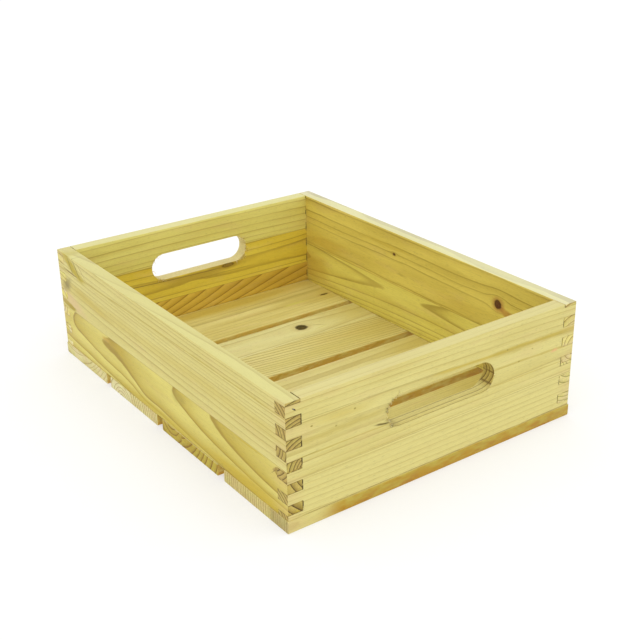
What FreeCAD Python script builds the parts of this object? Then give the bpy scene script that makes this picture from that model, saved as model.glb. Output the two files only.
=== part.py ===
import FreeCAD, Part
import math
import os
import Sketcher
from FreeCAD import Rotation, Vector

# A wooden apple crate: four finger-jointed pine boards, two of them with a hand slot, standing on a
# floor of four slats. Every board and all but one of the slats are glued up from narrower staves,
# and each stave, like each set of nails, is a sub-part of its own.
#
# Frame, in millimetres: the origin is the centre of the crate's footprint on the surface that it
# stands on. +X runs along the boards with the hand slots, +Y along the plain side boards from the
# front to the back, and +Z is up.

SHEET = "Dims"

# Driving dimensions: alias, value, meaning.
DIMENSIONS = (
    ("crate_width", 407, "outside, along X, over the side boards"),
    ("crate_length", 535, "outside, along Y, over the slotted boards"),
    ("crate_height", 150, "floor underside to rim"),
    ("board_thickness", 18, "planed pine board"),
    ("slat_thickness", 15, "floor slat, which the boards stand on"),
    ("slat_overhang", 1, "slats stand this proud of the boards"),
    ("slat_easing", 2, "radius along the slats' long edges"),
    ("finger_height", 12.5, "one whole finger of the corner joints"),
    ("lowest_finger_height", 6, "the slotted boards' lowest finger, which is cut short"),
    ("shoulder_gap", 0.4, "play between a finger's side and the shoulder beside it"),
    ("slot_length", 153, "hand slot, end to end"),
    ("slot_height", 38, "hand slot, which has round ends"),
    ("slot_centre_height", 95, "hand slot's centre above the ground"),
    ("left_glue_line", 72.5, "height of the glue line in the left side board"),
    ("right_glue_line", 75, "height of the glue line in the right side board"),
    ("front_glue_line", 60, "height of the glue line in the front board"),
    ("back_lower_glue_line", 44.5, "height of the back board's lower glue line"),
    ("back_upper_glue_line", 99, "height of the back board's upper glue line"),
    ("slat_1_width", 125, "front slat"),
    ("slat_2_width", 127.5, "second slat"),
    ("slat_3_width", 126, "third slat"),
    ("slat_4_width", 123, "back slat"),
    ("gap_1_width", 13, "between slats 1 and 2"),
    ("gap_2_width", 12.5, "between slats 2 and 3"),
    ("gap_3_width", 10, "between slats 3 and 4"),
    ("slat_1_glue_line", 32, "from the slat's front edge"),
    ("slat_2_glue_line", 81, "from the slat's front edge"),
    ("slat_3_glue_line", 68, "from the slat's front edge"),
    ("nail_diameter", 2.5, "slat nail"),
    ("nail_length", 40, "slat nail, head and point included"),
    ("nail_head_diameter", 5, "slat nail"),
    ("nail_head_thickness", 1.2, "slat nail"),
    ("nail_point_length", 4, "slat nail"),
    ("nail_spread", 35, "a slat's two nails stand this far each side of its middle"),
    ("board_nail_spacing", 120, "between the nails that go up into a slotted board"),
    ("brad_diameter", 1.4, "corner brad"),
    ("brad_length", 32, "corner brad, head and point included"),
    ("brad_head_diameter", 2.4, "corner brad"),
    ("brad_head_thickness", 0.8, "corner brad"),
    ("brad_point_length", 2.5, "corner brad"),
    ("brad_inset", 10.5, "corner brad, from the crate's outer side"),
    ("brad_height", 140.5, "corner brad, above the ground"),
    ("cutter_overrun", 2, "how far a cutting tool runs past the wood"),
)

SLATS = (1, 2, 3, 4)
SINGLE_PIECE_SLAT = 4
FINGERS_AND_NOTCHES = 12

# Board staves: label, the wall it belongs to, and the dimensions at its lower and upper edge.
BOARD_STAVES = (
    ("left_side_lower_stave", "left", "slat_thickness", "left_glue_line"),
    ("left_side_upper_stave", "left", "left_glue_line", "crate_height"),
    ("right_side_lower_stave", "right", "slat_thickness", "right_glue_line"),
    ("right_side_upper_stave", "right", "right_glue_line", "crate_height"),
    ("front_board_lower_stave", "front", "slat_thickness", "front_glue_line"),
    ("front_board_upper_stave", "front", "front_glue_line", "crate_height"),
    ("back_board_lower_stave", "back", "slat_thickness", "back_lower_glue_line"),
    ("back_board_middle_stave", "back", "back_lower_glue_line", "back_upper_glue_line"),
    ("back_board_upper_stave", "back", "back_upper_glue_line", "crate_height"),
)


def dim(alias):
    """The expression that reads one cell of the sheet."""
    return f"{SHEET}.{alias}"


LEFT = f"-{dim('crate_width')} / 2"
RIGHT = f"{dim('crate_width')} / 2"
FRONT = f"-{dim('crate_length')} / 2"
BACK = f"{dim('crate_length')} / 2"
THICKNESS = dim("board_thickness")
OVERRUN = dim("cutter_overrun")


def fill_sheet(doc):
    """Write every driving dimension as a plain number with an alias and a note."""
    sheet = doc.addObject("Spreadsheet::Sheet", SHEET)
    for row, (alias, value, meaning) in enumerate(DIMENSIONS, start=1):
        sheet.set(f"A{row}", alias)
        sheet.set(f"B{row}", str(value))
        sheet.set(f"C{row}", meaning)
        sheet.setAlias(f"B{row}", alias)
    doc.recompute()


def bind(feature, expressions):
    """Tie a feature's properties to expressions on the sheet."""
    for prop, expression in expressions.items():
        feature.setExpression(prop, expression)


def bind_place(feature, x, y, z):
    """Tie a feature's position to expressions on the sheet."""
    bind(feature, {"Placement.Base.x": x, "Placement.Base.y": y, "Placement.Base.z": z})


def make_box(doc, name, size, corner):
    """A box with its size and lowest corner given as expressions along X, Y and Z."""
    box = doc.addObject("Part::Box", name)
    bind(box, dict(zip(("Length", "Width", "Height"), size)))
    bind_place(box, *corner)
    return box


def make_cylinder(doc, name, radius, length, x, y, z):
    """An upright cylinder with its sizes and the centre of its base given as expressions."""
    cylinder = doc.addObject("Part::Cylinder", name)
    bind(cylinder, {"Radius": radius, "Height": length})
    bind_place(cylinder, x, y, z)
    return cylinder


def join(doc, name, shapes):
    """Fuse several shapes into one."""
    union = doc.addObject("Part::MultiFuse", name)
    union.Shapes = shapes
    return union


def cut_away(doc, label, wood, tools):
    """The finished sub-part: a piece of wood with each tool's shape cut out of it."""
    cutter = join(doc, f"{label}_cutter", tools)
    finished = doc.addObject("Part::Cut", label)
    finished.Base = wood
    finished.Tool = cutter
    finished.Label = label
    return finished


def make_pin(doc, name, kind, rotation, place):
    """A nail or brad: a flat head, a round shank and a conical point, along its own +Z."""
    radius = f"{dim(kind + '_diameter')} / 2"
    head_radius = f"{dim(kind + '_head_diameter')} / 2"
    head_thickness = dim(f"{kind}_head_thickness")
    point_length = dim(f"{kind}_point_length")
    shank_length = f"{dim(kind + '_length')} - {point_length}"
    head = make_cylinder(doc, f"{name}_head", head_radius, head_thickness, "0", "0", "0")
    shank = make_cylinder(doc, f"{name}_shank", radius, shank_length, "0", "0", "0")
    point = doc.addObject("Part::Cone", f"{name}_point")
    bind(point, {"Radius1": radius, "Height": point_length, "Placement.Base.z": shank_length})
    point.Radius2 = 0
    pin = join(doc, name, [head, shank, point])
    pin.Placement.Rotation = rotation
    bind_place(pin, *place)
    return pin


def slat_front_edge(number):
    """Where a slat starts along Y: the front slat's overhang, then the slats and gaps before it."""
    terms = [f"{FRONT} - {dim('slat_overhang')}"]
    for before in range(1, number):
        terms.append(dim(f"slat_{before}_width"))
        terms.append(dim(f"gap_{before}_width"))
    return " + ".join(terms)


def make_slat_nails(doc):
    """Nails driven up through the slats: two at each slat's end, three into each slotted board."""
    upright = Rotation()
    nails = []
    for number in SLATS:
        middle = f"{slat_front_edge(number)} + {dim(f'slat_{number}_width')} / 2"
        for side, x in (("left", f"{LEFT} + {THICKNESS} / 2"), ("right", f"{RIGHT} - {THICKNESS} / 2")):
            for row, sign in (("front", "-"), ("back", "+")):
                name = f"nail_{number}_{side}_{row}"
                y = f"{middle} {sign} {dim('nail_spread')}"
                nails.append(make_pin(doc, name, "nail", upright, (x, y, "0")))
    for board, y in (("front", f"{FRONT} + {THICKNESS} / 2"), ("back", f"{BACK} - {THICKNESS} / 2")):
        for step in (-1, 0, 1):
            name = f"nail_{board}_board_{step + 2}"
            x = f"{step} * {dim('board_nail_spacing')}"
            nails.append(make_pin(doc, name, "nail", upright, (x, y, "0")))
    group = doc.addObject("Part::Compound", "slat_nails")
    group.Links = nails
    return group


def make_corner_brads(doc):
    """A brad through the top finger of each slotted board into the end of the side board behind."""
    along_y = Vector(1, 0, 0)
    inset = dim("brad_inset")
    height = dim("brad_height")
    front_place = (f"{LEFT} + {inset}", FRONT, height)
    back_place = (f"{RIGHT} - {inset}", BACK, height)
    group = doc.addObject("Part::Compound", "corner_brads")
    group.Links = [
        make_pin(doc, "front_brad", "brad", Rotation(along_y, -90), front_place),
        make_pin(doc, "back_brad", "brad", Rotation(along_y, 90), back_place),
    ]
    return group


def notch_height(index):
    """Height of the bottom of one finger or notch, counted up from the lowest, short one.

    The lowest one's tool starts below the boards, which leaves a short finger at their lower edge.
    """
    foot = f"{dim('slat_thickness')} + {dim('lowest_finger_height')}"
    return f"{foot} + ({index} - 1) * {dim('finger_height')}"


def make_side_notches(doc):
    """Tool for both side boards: the notches at their ends that take the slotted boards' fingers."""
    size = (f"{dim('crate_width')} + 2 * {OVERRUN}", f"{THICKNESS} + {OVERRUN}", dim("finger_height"))
    notches = []
    for index in range(0, FINGERS_AND_NOTCHES, 2):
        for end, y in (("front", f"{FRONT} - {OVERRUN}"), ("back", f"{BACK} - {THICKNESS}")):
            corner = (f"{LEFT} - {OVERRUN}", y, notch_height(index))
            notches.append(make_box(doc, f"side_notch_{end}_{index}", size, corner))
    return join(doc, "side_notches", notches)


def make_slotted_board_notches(doc):
    """Tool for both slotted boards: end notches that take the side boards' fingers, with some play."""
    reach = f"{THICKNESS} + {dim('shoulder_gap')}"
    size = (f"{reach} + {OVERRUN}", f"{dim('crate_length')} + 2 * {OVERRUN}", dim("finger_height"))
    notches = []
    for index in range(1, FINGERS_AND_NOTCHES, 2):
        for end, x in (("left", f"{LEFT} - {OVERRUN}"), ("right", f"{RIGHT} - ({reach})")):
            corner = (x, f"{FRONT} - {OVERRUN}", notch_height(index))
            notches.append(make_box(doc, f"board_notch_{end}_{index}", size, corner))
    return join(doc, "board_notches", notches)


def make_hand_slots(doc):
    """Tool for both slotted boards: one long bar with round sides that cuts the hand slots."""
    body = doc.addObject("PartDesign::Body", "hand_slots")
    sketch = body.newObject("Sketcher::SketchObject", "hand_slot_profile")
    sketch.AttachmentSupport = (origin_plane(body, "XZ_Plane"), [""])
    sketch.MapMode = "FlatFace"
    # Starting guesses; the constraints set the true sizes from the sheet.
    radius = 20
    straight = 50
    top = sketch.addGeometry(Part.LineSegment(Vector(-straight, radius, 0), Vector(straight, radius, 0)))
    base = sketch.addGeometry(Part.LineSegment(Vector(straight, -radius, 0), Vector(-straight, -radius, 0)))
    right_end = sketch.addGeometry(half_circle(straight, radius, -90, 90))
    left_end = sketch.addGeometry(half_circle(-straight, radius, 90, 270))
    for first, first_point, second, second_point in (
        (top, 2, right_end, 2),
        (right_end, 1, base, 1),
        (base, 2, left_end, 2),
        (left_end, 1, top, 1),
    ):
        sketch.addConstraint(Sketcher.Constraint("Tangent", first, first_point, second, second_point))
    sketch.addConstraint(Sketcher.Constraint("Horizontal", top))
    # Both arc centres are symmetric about the slot's own centre, which is the sketch's origin.
    sketch.addConstraint(Sketcher.Constraint("Symmetric", left_end, 3, right_end, 3, -1, 1))
    round_end = sketch.addConstraint(Sketcher.Constraint("Radius", right_end, radius))
    centres = sketch.addConstraint(Sketcher.Constraint("DistanceX", left_end, 3, right_end, 3, 2 * straight))
    bind(sketch, {
        f"Constraints[{round_end}]": f"{dim('slot_height')} / 2",
        f"Constraints[{centres}]": f"{dim('slot_length')} - {dim('slot_height')}",
    })
    pad = body.newObject("PartDesign::Pad", "hand_slot_bar")
    pad.Profile = sketch
    pad.Midplane = True
    pad.setExpression("Length", f"{dim('crate_length')} + 2 * {OVERRUN}")
    body.setExpression("Placement.Base.z", dim("slot_centre_height"))
    return body


def half_circle(centre_x, radius, start_angle, end_angle):
    """A half circle of a sketch, counter-clockwise, with its centre on the sketch's X axis."""
    circle = Part.Circle(Vector(centre_x, 0, 0), Vector(0, 0, 1), radius)
    return Part.ArcOfCircle(circle, math.radians(start_angle), math.radians(end_angle))


def origin_plane(body, role):
    """One of a body's own origin planes, found by its role."""
    return next(feature for feature in body.Origin.OriginFeatures if feature.Role == role)


def make_board_blank(doc, label, wall, low, high):
    """A stave's plain blank, as long as its wall, between two heights."""
    height = f"{dim(high)} - {dim(low)}"
    along_x = (dim("crate_width"), THICKNESS, height)
    along_y = (THICKNESS, dim("crate_length"), height)
    size, x, y = {
        "left": (along_y, LEFT, FRONT),
        "right": (along_y, f"{RIGHT} - {THICKNESS}", FRONT),
        "front": (along_x, LEFT, FRONT),
        "back": (along_x, LEFT, f"{BACK} - {THICKNESS}"),
    }[wall]
    return make_box(doc, f"{label}_blank", size, (x, y, dim(low)))


def make_slat_blank(doc, label, front_edge, width, eased_sides):
    """A slat's or slat stave's blank: a padded rectangle with its free long edges rounded."""
    body = doc.addObject("PartDesign::Body", f"{label}_blank")
    sketch = body.newObject("Sketcher::SketchObject", f"{label}_outline")
    sketch.AttachmentSupport = (origin_plane(body, "XY_Plane"), [""])
    sketch.MapMode = "FlatFace"
    # A small starting rectangle; the constraints set its true size from the sheet.
    corners = (Vector(0, 0, 0), Vector(10, 0, 0), Vector(10, 5, 0), Vector(0, 5, 0))
    for start, end in zip(corners, corners[1:] + corners[:1]):
        sketch.addGeometry(Part.LineSegment(start, end))
    for side in range(4):
        sketch.addConstraint(Sketcher.Constraint("Coincident", side, 2, (side + 1) % 4, 1))
        sketch.addConstraint(Sketcher.Constraint("Horizontal" if side % 2 == 0 else "Vertical", side))
    sketch.addConstraint(Sketcher.Constraint("Coincident", 0, 1, -1, 1))
    along = sketch.addConstraint(Sketcher.Constraint("DistanceX", 0, 1, 0, 2, 10))
    across = sketch.addConstraint(Sketcher.Constraint("DistanceY", 1, 1, 1, 2, 5))
    bind(sketch, {
        f"Constraints[{along}]": f"{dim('crate_width')} + 2 * {dim('slat_overhang')}",
        f"Constraints[{across}]": width,
    })
    pad = body.newObject("PartDesign::Pad", f"{label}_pad")
    pad.Profile = sketch
    pad.setExpression("Length", dim("slat_thickness"))
    doc.recompute()
    easing = body.newObject("PartDesign::Fillet", f"{label}_easing")
    easing.Base = (pad, long_edges(pad.Shape, eased_sides))
    easing.setExpression("Radius", dim("slat_easing"))
    bind_place(body, f"{LEFT} - {dim('slat_overhang')}", front_edge, "0")
    return body


def long_edges(shape, sides):
    """Names of the edges that run the slat's length along its front side, its back side or both."""
    box = shape.BoundBox
    wanted = {"front": box.YMin, "back": box.YMax}
    names = []
    for number, edge in enumerate(shape.Edges, start=1):
        runs_along = edge.BoundBox.XLength > box.XLength / 2
        if runs_along and any(abs(edge.BoundBox.Center.y - wanted[side]) < 0.01 for side in sides):
            names.append(f"Edge{number}")
    return names


def make_slats(doc, nails):
    """All the floor's staves, front to back, with their nail holes."""
    staves = []
    for number in SLATS:
        front_edge = slat_front_edge(number)
        width = dim(f"slat_{number}_width")
        if number == SINGLE_PIECE_SLAT:
            pieces = [(f"slat_{number}", front_edge, width, ("front", "back"))]
        else:
            glue_line = dim(f"slat_{number}_glue_line")
            back_edge = f"{front_edge} + {glue_line}"
            back_width = f"{width} - {glue_line}"
            pieces = [
                (f"slat_{number}_front_stave", front_edge, glue_line, ("front",)),
                (f"slat_{number}_back_stave", back_edge, back_width, ("back",)),
            ]
        for label, y, piece_width, eased_sides in pieces:
            blank = make_slat_blank(doc, label, y, piece_width, eased_sides)
            staves.append(cut_away(doc, label, blank, [nails]))
    return staves


def make_boards(doc, nails, brads):
    """All the walls' staves, with their finger joints, hand slots and nail holes."""
    side_tools = [make_side_notches(doc), nails, brads]
    slotted_tools = [make_slotted_board_notches(doc), make_hand_slots(doc), nails, brads]
    staves = []
    for label, wall, low, high in BOARD_STAVES:
        blank = make_board_blank(doc, label, wall, low, high)
        tools = side_tools if wall in ("left", "right") else slotted_tools
        staves.append(cut_away(doc, label, blank, tools))
    return staves


def check(doc, sub_parts):
    """Stop if any feature failed or any sub-part has no sound shape."""
    for feature in doc.Objects:
        if "Invalid" in feature.State or "Error" in feature.State:
            raise RuntimeError(f"{feature.Label} failed: {feature.State}")
    for sub_part in sub_parts:
        if sub_part.Shape.isNull() or not sub_part.Shape.isValid():
            raise RuntimeError(f"{sub_part.Label} has no valid shape")


def main():
    doc = FreeCAD.newDocument("AppleCrate")
    fill_sheet(doc)
    nails = make_slat_nails(doc)
    brads = make_corner_brads(doc)
    sub_parts = make_boards(doc, nails, brads) + make_slats(doc, nails) + [nails, brads]
    doc.recompute()
    check(doc, sub_parts)
    os.makedirs("parts", exist_ok=True)
    for sub_part in sub_parts:
        sub_part.Shape.exportStep(f"parts/{sub_part.Label}.step")
        print(f"{sub_part.Label}: {len(sub_part.Shape.Solids)} solid(s), {sub_part.Shape.Volume:.0f} mm3")


main()
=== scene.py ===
import bmesh
import bpy
import math
import random
from dataclasses import dataclass
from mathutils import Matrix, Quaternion, Vector


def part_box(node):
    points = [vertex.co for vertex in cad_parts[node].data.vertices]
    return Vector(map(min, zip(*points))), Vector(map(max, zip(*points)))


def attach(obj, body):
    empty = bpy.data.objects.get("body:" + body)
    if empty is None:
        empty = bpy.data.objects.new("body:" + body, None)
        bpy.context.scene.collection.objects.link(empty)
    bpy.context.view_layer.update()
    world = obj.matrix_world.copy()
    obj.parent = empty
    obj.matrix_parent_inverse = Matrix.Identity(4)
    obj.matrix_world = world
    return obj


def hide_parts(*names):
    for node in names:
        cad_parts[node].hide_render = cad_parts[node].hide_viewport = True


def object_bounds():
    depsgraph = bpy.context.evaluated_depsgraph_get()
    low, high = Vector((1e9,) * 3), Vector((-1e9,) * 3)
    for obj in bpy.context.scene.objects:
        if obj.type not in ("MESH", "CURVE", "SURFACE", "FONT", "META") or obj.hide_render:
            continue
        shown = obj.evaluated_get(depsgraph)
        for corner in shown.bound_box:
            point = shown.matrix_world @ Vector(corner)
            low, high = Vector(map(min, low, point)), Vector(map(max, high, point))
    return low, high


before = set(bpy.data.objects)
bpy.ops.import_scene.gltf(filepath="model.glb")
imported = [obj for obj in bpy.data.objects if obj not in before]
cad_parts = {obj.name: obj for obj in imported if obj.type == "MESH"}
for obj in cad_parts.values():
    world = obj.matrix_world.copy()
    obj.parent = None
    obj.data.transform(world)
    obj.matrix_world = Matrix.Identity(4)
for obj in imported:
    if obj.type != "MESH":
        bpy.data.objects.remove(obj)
cad_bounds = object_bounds()

# A finger-jointed pine crate. Lengths are in metres unless a name says mm. The grain is worked out in
# millimetres: "along" runs with the fibres, "across" over a stave's width and "deep" through it.
MM = 0.001
BODY = "root"
SEED = 11
TINY = 1e-6

# ----------------------------------------
# Measures read from the frame


def node_box(name):
    low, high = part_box(name)
    return Vector(low), Vector(high)


WALL_LOW = node_box("left_side_lower_stave")[0]
WALL_HIGH = node_box("right_side_upper_stave")[1]
THICKNESS = node_box("left_side_lower_stave")[1].x - WALL_LOW.x
FLOOR_TOP = WALL_LOW.z
RIM = WALL_HIGH.z
HALF_WIDTH = WALL_HIGH.x
HALF_LENGTH = WALL_HIGH.y

# The corner joints and the hand slots
FINGER = 12.5 * MM
FINGER_FOOT = FLOOR_TOP + 6 * MM
SHOULDER_GAP = 0.4 * MM
SLOT_HALF_LENGTH = 76.5 * MM
SLOT_RADIUS = 19 * MM
SLOT_HEIGHT = 95 * MM
SLOT_STEPS = 20

# ----------------------------------------
# Formulas as shader nodes


class Term:
    """A number that flows through a node tree, so that a formula reads as a formula."""

    def __init__(self, tree, socket):
        self.tree = tree
        self.socket = socket

    def math(self, operation, *others, clamp=False):
        node = self.tree.nodes.new("ShaderNodeMath")
        node.operation = operation
        node.use_clamp = clamp
        for socket, value in zip(node.inputs, (self, *others)):
            feed(self.tree, value, socket)
        return Term(self.tree, node.outputs[0])

    def __add__(self, other):
        return self.math("ADD", other)

    def __sub__(self, other):
        return self.math("SUBTRACT", other)

    def __mul__(self, other):
        return self.math("MULTIPLY", other)

    def __truediv__(self, other):
        return self.math("DIVIDE", other)

    def power(self, exponent):
        return self.math("POWER", exponent)

    def clamp(self):
        return self.math("ADD", 0.0, clamp=True)


def feed(tree, value, socket):
    """Link a term into a socket, or set the socket to a plain number."""
    if isinstance(value, Term):
        tree.links.new(value.socket, socket)
    else:
        socket.default_value = value


def vector(tree, *terms):
    node = tree.nodes.new("ShaderNodeCombineXYZ")
    for socket, term in zip(node.inputs, terms):
        feed(tree, term, socket)
    return node.outputs[0]


def fuzz(tree, terms, detail=2.0, roughness=0.5):
    """Smooth noise from 0 to 1 at a place given by up to three terms."""
    node = tree.nodes.new("ShaderNodeTexNoise")
    node.inputs["Scale"].default_value = 1.0
    node.inputs["Detail"].default_value = detail
    node.inputs["Roughness"].default_value = roughness
    tree.links.new(vector(tree, *terms), node.inputs["Vector"])
    return Term(tree, node.outputs["Fac"])


def ease(term, start, end):
    """0 before start, 1 after end, and a smooth step between; start may be above end."""
    node = term.tree.nodes.new("ShaderNodeMapRange")
    node.interpolation_type = "SMOOTHSTEP"
    rising = start <= end
    feed(term.tree, term, node.inputs["Value"])
    node.inputs["From Min"].default_value = start if rising else end
    node.inputs["From Max"].default_value = end if rising else start
    node.inputs["To Min"].default_value = 0.0 if rising else 1.0
    node.inputs["To Max"].default_value = 1.0 if rising else 0.0
    return Term(term.tree, node.outputs["Result"])


def blend(tree, factor, first, second, mode="MIX"):
    """A colour between two colours; each is a socket or a plain (r, g, b)."""
    node = tree.nodes.new("ShaderNodeMix")
    node.data_type = "RGBA"
    node.blend_type = mode
    feed(tree, factor, node.inputs["Factor"])
    for value, socket in ((first, node.inputs[6]), (second, node.inputs[7])):
        if isinstance(value, bpy.types.NodeSocket):
            tree.links.new(value, socket)
        else:
            socket.default_value = (*value, 1.0)
    return node.outputs[2]


def shade_by(tree, colour, *shades):
    """Multiply a colour by one shade, or by one for each of red, green and blue."""
    shades = shades * 3 if len(shades) == 1 else shades
    return blend(tree, 1.0, colour, vector(tree, *shades), "MULTIPLY")


def own_place(tree):
    """A point's own coordinates in mm, as terms by axis."""
    coordinates = tree.nodes.new("ShaderNodeTexCoord")
    split = tree.nodes.new("ShaderNodeSeparateXYZ")
    tree.links.new(coordinates.outputs["Object"], split.inputs[0])
    return {axis: Term(tree, split.outputs[axis]) / MM for axis in "XYZ"}


def new_material(name):
    """A material with one surface shader; gives the material, its node tree and the shader."""
    material = bpy.data.materials.new(name)
    material.use_nodes = True
    tree = material.node_tree
    return material, tree, tree.nodes["Principled BSDF"]


def cloudy_material(name, blotch, detail, span, colours, smoothest, metallic):
    """A material whose colour and roughness drift in clouds of about a blotch's size, in mm."""
    material, tree, surface = new_material(name)
    cloud = fuzz(tree, [term / blotch for term in own_place(tree).values()], detail)
    tree.links.new(blend(tree, ease(cloud, *span), *colours), surface.inputs["Base Color"])
    tree.links.new((cloud * 0.3 + smoothest).socket, surface.inputs["Roughness"])
    surface.inputs["Metallic"].default_value = metallic
    return material


# ----------------------------------------
# Pine, as solid wood: growth rings round a pith line that runs beside or through the stave

REACH = 190.0
EARLY = (0.70, 0.62, 0.225)
LATE = (0.46, 0.345, 0.045)
DARK = (0.27, 0.165, 0.03)
TAN = (0.66, 0.49, 0.21)
RUST = (0.46, 0.20, 0.04)
KNOT = (0.20, 0.095, 0.03)
KNOT_RIM = (0.04, 0.024, 0.004)
KNOT_HALO = (0.44, 0.26, 0.05)
SLAT_EDGE = (0.56, 0.33, 0.03)
TORN = (0.36, 0.25, 0.06)
STAIN = (0.17, 0.105, 0.022)
GAP = (0.05, 0.032, 0.008)
# Painted shade for the dark holes of the corner brads.
BRAD_HOLE_SHADE = (0.045, 0.025, 0.035)
SLOT_WALL = (0.80, 0.68, 0.30)
# The pale colour that the crate's tops are blended towards: a painted highlight.
RIM_HIGHLIGHT = (0.72, 0.65, 0.28)
SAWN = (0.62, 0.50, 0.10)

CLOSEST_RINGS = 1.4
REACH_MARGIN = 0.5
STREAK_CORE = 0.2
STREAK_FADE = 0.12
NOWHERE = 1.3  # a share of the half length that is past the stave's end


@dataclass
class Streak:
    """A band along the fibres. across is its place at the stave's start, middle and end, in mm."""

    across: tuple
    half: float
    strength: float
    colour: tuple = LATE
    bend: float = 2.0
    span: tuple = (-NOWHERE, NOWHERE)


@dataclass
class Patch:
    """A blotch, flame or speck: a soft ragged oval. Its place and half sizes are along and across."""

    at: tuple
    size: tuple
    strength: float
    colour: tuple = LATE
    lean: float = 0.0
    ragged: float = 0.8
    core: float = 0.3


@dataclass
class Knot:
    """A knot that runs straight through the stave, longer along the fibres by its stretch."""

    at: tuple
    radius: float
    stretch: float
    halo: float = 0.5
    halo_colour: tuple = KNOT_HALO
    colour: tuple = KNOT
    part: float = 1.5
    depth: float = 1.0


@dataclass
class Swell:
    """A place where the rings bulge outwards by some mm, or inwards."""

    at: tuple
    size: float
    by: float
    stretch: float = 1.5


def through(along, values):
    """A smooth curve over the stave's length through its values at the start, middle and end."""
    start, middle, end = values
    slope = (end - start) / 2
    bow = (end + start) / 2 - middle
    if abs(slope) < TINY and abs(bow) < TINY:
        return middle
    return along * slope + along * along * bow + middle


def ring_radii(grain):
    """Each ring's outer radius: the ones that are given, then uneven ones inwards and outwards."""
    draw = random.Random(grain["seed"])
    across, deep = grain["pith_across"][1], grain["pith_deep"][1]
    met = [math.hypot(line - across, grain["face"] - deep) for line in grain.get("lines", ())]
    radii = sorted(grain.get("radii", ()) or met or (grain["ring"] * 4,))
    radii = [radius for radius, before in zip(radii, [0.0] + radii)
             if radius - before > CLOSEST_RINGS]

    def step():
        return grain["ring"] * draw.uniform(0.75, 1.25)

    while radii[0] > grain["ring"]:
        radii.insert(0, radii[0] - step())
    while radii[-1] < REACH:
        radii.append(radii[-1] + step())
    return [radius for radius in radii if REACH_MARGIN < radius < REACH - REACH_MARGIN]


def count_rings(from_pith, radii):
    """Turn a distance from the pith into a ring number whose fraction runs from 0 to 1 in each ring."""
    node = from_pith.tree.nodes.new("ShaderNodeFloatCurve")
    steps = len(radii) + 1
    points = node.mapping.curves[0].points
    for number, radius in enumerate(radii):
        points.new(radius / REACH, (number + 1) / steps)
    for point in points:
        point.handle_type = "VECTOR"
    node.mapping.update()
    feed(from_pith.tree, from_pith / REACH, node.inputs["Value"])
    return Term(from_pith.tree, node.outputs[0]) * steps


class Stave:
    """The coordinates that the formulas of one stave's wood share."""

    def __init__(self, tree, grain, axes, length):
        self.tree = tree
        self.grain = grain
        self.seed = grain["seed"]
        self.row = own_place(tree)
        self.along, self.across, self.deep = (self.row[axis] for axis in axes)
        self.share = self.along / (length / 2 / MM)
        geometry = tree.nodes.new("ShaderNodeNewGeometry")
        normal = tree.nodes.new("ShaderNodeSeparateXYZ")
        tree.links.new(geometry.outputs["Normal"], normal.inputs[0])
        self.normal = {axis: Term(tree, normal.outputs[axis]) for axis in "XYZ"}
        self.face_axis = axes[2]
        self.is_board = self.face_axis != "Z"
        self.end_on = ease(self.normal[axes[0]].math("ABSOLUTE"), 0.5, 0.85)
        self.drift = self.fuzz(60, 14, 14, 3.0)

    def fuzz(self, along, across, deep, detail=2.0, roughness=0.5):
        """Noise whose blotches have about these sizes along, across and into the stave."""
        terms = (self.along / along + self.seed, self.across / across, self.deep / deep + self.seed)
        return fuzz(self.tree, terms, detail, roughness)

    def gap_to(self, spot, stretch):
        """Distance from a line through the stave, measured shorter along the fibres."""
        away_along = (self.along - spot[0]) / stretch
        away_across = self.across - spot[1]
        return (away_along.power(2.0) + away_across.power(2.0)).power(0.5)


def flow_round(stave, knots):
    """The place across the stave, bent so that fibres part before each knot and join behind it."""
    bent = stave.across
    for knot in knots:
        reach = knot.radius * knot.part
        gap = stave.gap_to(knot.at, knot.stretch * 1.4)
        share = (gap.math("MAXIMUM", reach).power(-2.0)) * (reach * reach)
        bent = bent - (stave.across - knot.at[1]) * share
    return bent


def grow_rings(stave):
    """Ring number, slow wander included."""
    grain = stave.grain
    bent = flow_round(stave, grain.get("knots", ()))
    pith_across = through(stave.share, grain["pith_across"])
    pith_deep = through(stave.share, grain["pith_deep"])
    from_pith = ((bent - pith_across).power(2.0) + (stave.deep - pith_deep).power(2.0)).power(0.5)
    wander = stave.fuzz(120, 40, 40, 1.0) - 0.5
    ripple = stave.fuzz(30, 8, 8, 1.0) - 0.5
    from_pith = from_pith + wander * (2 * grain.get("wander", 1.0)) + ripple * grain.get("ripple", 0.7)
    for swell in grain.get("swells", ()):
        rise = ease(stave.gap_to(swell.at, swell.stretch), swell.size, 0.0)
        from_pith = from_pith + rise * swell.by
    return count_rings(from_pith, ring_radii(grain))


def paint_streaks(stave, colour):
    """Resin and heartwood streaks that run with the fibres."""
    for streak in stave.grain.get("streaks", ()):
        middle = through(stave.share, streak.across)
        bend = fuzz(stave.tree, (stave.along / 60 + stave.seed + 7.0, 0.0, 0.0), 1.0) - 0.5
        off = stave.across - middle - bend * streak.bend
        ragged = (stave.fuzz(26, 3, 3) - 0.5) * streak.half * 1.2
        mask = ease(off.math("ABSOLUTE") + ragged, streak.half, streak.half * STREAK_CORE)
        start, end = streak.span
        mask = mask * ease(stave.share, start, start + STREAK_FADE)
        mask = mask * ease(stave.share, end, end - STREAK_FADE)
        mask = mask * (stave.end_on * -1.0 + 1.0)
        colour = blend(stave.tree, mask * streak.strength, colour, streak.colour)
    return colour


def paint_patches(stave, colour):
    for patch in stave.grain.get("patches", ()):
        away_along = stave.along - patch.at[0]
        away_across = stave.across - patch.at[1] - away_along * patch.lean
        long, wide = patch.size
        gap = ((away_along / long).power(2.0) + (away_across / wide).power(2.0)).power(0.5)
        ragged = stave.fuzz(long * 0.5 + 2, wide * 0.5 + 1, 30.0) - 0.5
        mask = ease(gap + ragged * patch.ragged, 1.0, patch.core)
        colour = blend(stave.tree, mask * patch.strength, colour, patch.colour)
    return colour


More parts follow.
